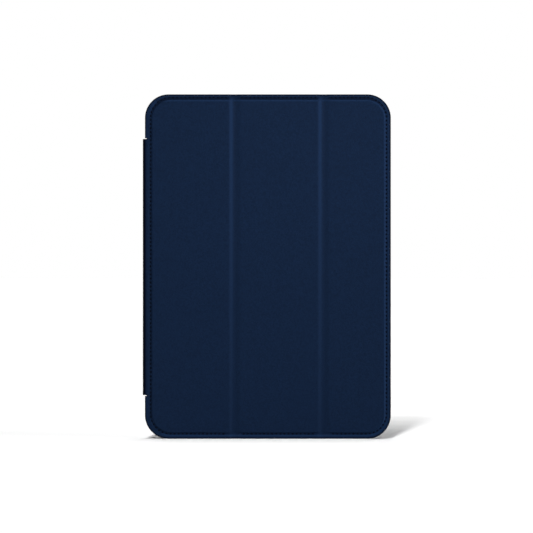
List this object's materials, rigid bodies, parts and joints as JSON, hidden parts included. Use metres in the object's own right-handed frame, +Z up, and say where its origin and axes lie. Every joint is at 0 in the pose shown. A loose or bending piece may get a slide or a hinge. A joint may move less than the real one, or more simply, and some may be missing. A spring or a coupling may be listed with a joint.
{
  "type": "tablet keyboard case",
  "caption": "Folding tablet case in stitched leather-like skin: moulded tray, soft spine and three-panel cover, with a thin wireless keyboard stowed inside.",
  "frame": {"origin": "bottom centre of the closed case, on the edge that it stands on", "axes": "+Z up along the case's long side, -Y out of the front cover, +Y out of the back, +X towards the edge that opens, away from the spine"},
  "size_m": [0.1828, 0.0182, 0.2538],
  "materials": {
    "navy_skin": "fine-grained polyurethane leather, satin",
    "navy_lining": "brushed microfibre",
    "grey_board": "pressed fibreboard, hidden",
    "magnet_metal": "nickel plated",
    "navy_plastic": "soft-touch moulded thermoplastic polyurethane",
    "dark_plastic": "fine spark-eroded texture",
    "key_plastic": "matt keycap",
    "green_board": "solder-masked circuit board, hidden",
    "pouch_foil": "laminated foil pouch, hidden",
    "black_rubber": "silicone",
    "clear_lens": "clear acrylic light guide"
  },
  "bodies": {
    "tray": {"back_shell": "navy_plastic", "back_skin": "navy_skin", "tray_lining": "navy_lining", "camera_bezel": "dark_plastic", "rear_spine_fold": "navy_skin"},
    "volume_up": {"volume_up_button": "navy_plastic"},
    "volume_down": {"volume_down_button": "navy_plastic"},
    "power": {"power_button": "navy_plastic"},
    "spine": {"spine_skin": "navy_skin", "spine_board": "grey_board", "spine_lining": "navy_lining"},
    "hinge_panel": {"hinge_panel_skin": "navy_skin", "hinge_panel_board": "grey_board", "hinge_panel_lining": "navy_lining", "holding_magnet_upper": "magnet_metal", "holding_magnet_lower": "magnet_metal", "front_spine_fold": "navy_skin"},
    "middle_panel": {"middle_panel_skin": "navy_skin", "middle_panel_board": "grey_board", "middle_panel_lining": "navy_lining", "stand_magnet_upper": "magnet_metal", "stand_magnet_lower": "magnet_metal", "first_cover_fold": "navy_skin"},
    "free_panel": {"free_panel_skin": "navy_skin", "free_panel_board": "grey_board", "free_panel_lining": "navy_lining", "closing_magnet_upper": "magnet_metal", "closing_magnet_lower": "magnet_metal", "sleep_magnet": "magnet_metal", "second_cover_fold": "navy_skin"},
    "keyboard": {"keyboard_base": "dark_plastic", "keyboard_deck": "dark_plastic", "screen_bumper": "black_rubber", "foot_pad_lower_left": "black_rubber", "foot_pad_lower_right": "black_rubber", "foot_pad_upper_left": "black_rubber", "foot_pad_upper_right": "black_rubber", "key_membrane": "green_board", "holding_plate_upper": "magnet_metal", "holding_plate_lower": "magnet_metal", "battery": "pouch_foil", "controller_board": "green_board", "touchpad_board": "green_board", "charging_socket": "magnet_metal", "indicator_lens": "clear_lens"},
    "touchpad_plate": {"touchpad": "key_plastic"},
    "switch_knob": {"power_switch": "dark_plastic"},
    "function_key_row": {"function_keys": "key_plastic"},
    "number_key_row": {"number_keys": "key_plastic"},
    "upper_letter_key_row": {"upper_letter_keys": "key_plastic"},
    "home_letter_key_row": {"home_letter_keys": "key_plastic"},
    "enter_key_cap": {"enter_key": "key_plastic"},
    "lower_letter_key_row": {"lower_letter_keys": "key_plastic"},
    "left_modifier_key_group": {"left_modifier_keys": "key_plastic"},
    "space_bar_cap": {"space_bar": "key_plastic"},
    "right_modifier_key_group": {"right_modifier_keys": "key_plastic"}
  },
  "joints": [
    {"name": "spine_hinge", "type": "hinge", "parent": "tray", "child": "spine", "pos_m": [-0.09043, 0.0081, 0.0321], "axis": [0, 0, -1], "range_deg": [0, 180], "deforming": ["rear_spine_fold"]},
    {"name": "cover_hinge", "type": "hinge", "parent": "spine", "child": "hinge_panel", "pos_m": [-0.09043, -0.0079, 0.0321], "axis": [0, 0, -1], "range_deg": [0, 180], "deforming": ["front_spine_fold"]},
    {"name": "first_fold", "type": "hinge", "parent": "hinge_panel", "child": "middle_panel", "pos_m": [-0.02357, -0.0091, 0], "axis": [0, 0, 1], "range_deg": [-170, 0], "deforming": ["first_cover_fold"]},
    {"name": "second_fold", "type": "hinge", "parent": "middle_panel", "child": "free_panel", "pos_m": [0.04192, -0.0091, 0], "axis": [0, 0, -1], "range_deg": [0, 170], "deforming": ["second_cover_fold"]},
    {"name": "keyboard_removal", "type": "slide", "parent": "hinge_panel", "child": "keyboard", "axis": [1, 0, 0], "range_m": [0, 0.19]},
    {"name": "function_keys_press", "type": "slide", "parent": "keyboard", "child": "function_key_row", "axis": [0, -1, 0], "range_m": [0, 0.0012], "stiffness_N_per_m": 1800},
    {"name": "number_keys_press", "type": "slide", "parent": "keyboard", "child": "number_key_row", "axis": [0, -1, 0], "range_m": [0, 0.0012], "stiffness_N_per_m": 1800},
    {"name": "upper_letter_keys_press", "type": "slide", "parent": "keyboard", "child": "upper_letter_key_row", "axis": [0, -1, 0], "range_m": [0, 0.0012], "stiffness_N_per_m": 1800},
    {"name": "home_letter_keys_press", "type": "slide", "parent": "keyboard", "child": "home_letter_key_row", "axis": [0, -1, 0], "range_m": [0, 0.0012], "stiffness_N_per_m": 1600},
    {"name": "enter_key_press", "type": "slide", "parent": "keyboard", "child": "enter_key_cap", "axis": [0, -1, 0], "range_m": [0, 0.0012], "stiffness_N_per_m": 500},
    {"name": "lower_letter_keys_press", "type": "slide", "parent": "keyboard", "child": "lower_letter_key_row", "axis": [0, -1, 0], "range_m": [0, 0.0012], "stiffness_N_per_m": 1700},
    {"name": "left_modifier_keys_press", "type": "slide", "parent": "keyboard", "child": "left_modifier_key_group", "axis": [0, -1, 0], "range_m": [0, 0.0012], "stiffness_N_per_m": 800},
    {"name": "space_bar_press", "type": "slide", "parent": "keyboard", "child": "space_bar_cap", "axis": [0, -1, 0], "range_m": [0, 0.0012], "stiffness_N_per_m": 500},
    {"name": "right_modifier_keys_press", "type": "slide", "parent": "keyboard", "child": "right_modifier_key_group", "axis": [0, -1, 0], "range_m": [0, 0.0012], "stiffness_N_per_m": 900},
    {"name": "touchpad_click", "type": "slide", "parent": "keyboard", "child": "touchpad_plate", "axis": [0, -1, 0], "range_m": [0, 0.0003], "stiffness_N_per_m": 2500},
    {"name": "keyboard_switch", "type": "slide", "parent": "keyboard", "child": "switch_knob", "axis": [1, 0, 0], "range_m": [0, 0.002]},
    {"name": "volume_up_press", "type": "slide", "parent": "tray", "child": "volume_up", "axis": [-1, 0, 0], "range_m": [0, 0.0004], "stiffness_N_per_m": 4000},
    {"name": "volume_down_press", "type": "slide", "parent": "tray", "child": "volume_down", "axis": [-1, 0, 0], "range_m": [0, 0.0004], "stiffness_N_per_m": 4000},
    {"name": "power_press", "type": "slide", "parent": "tray", "child": "power", "axis": [0, 0, -1], "range_m": [0, 0.0004], "stiffness_N_per_m": 4000}
  ]
}
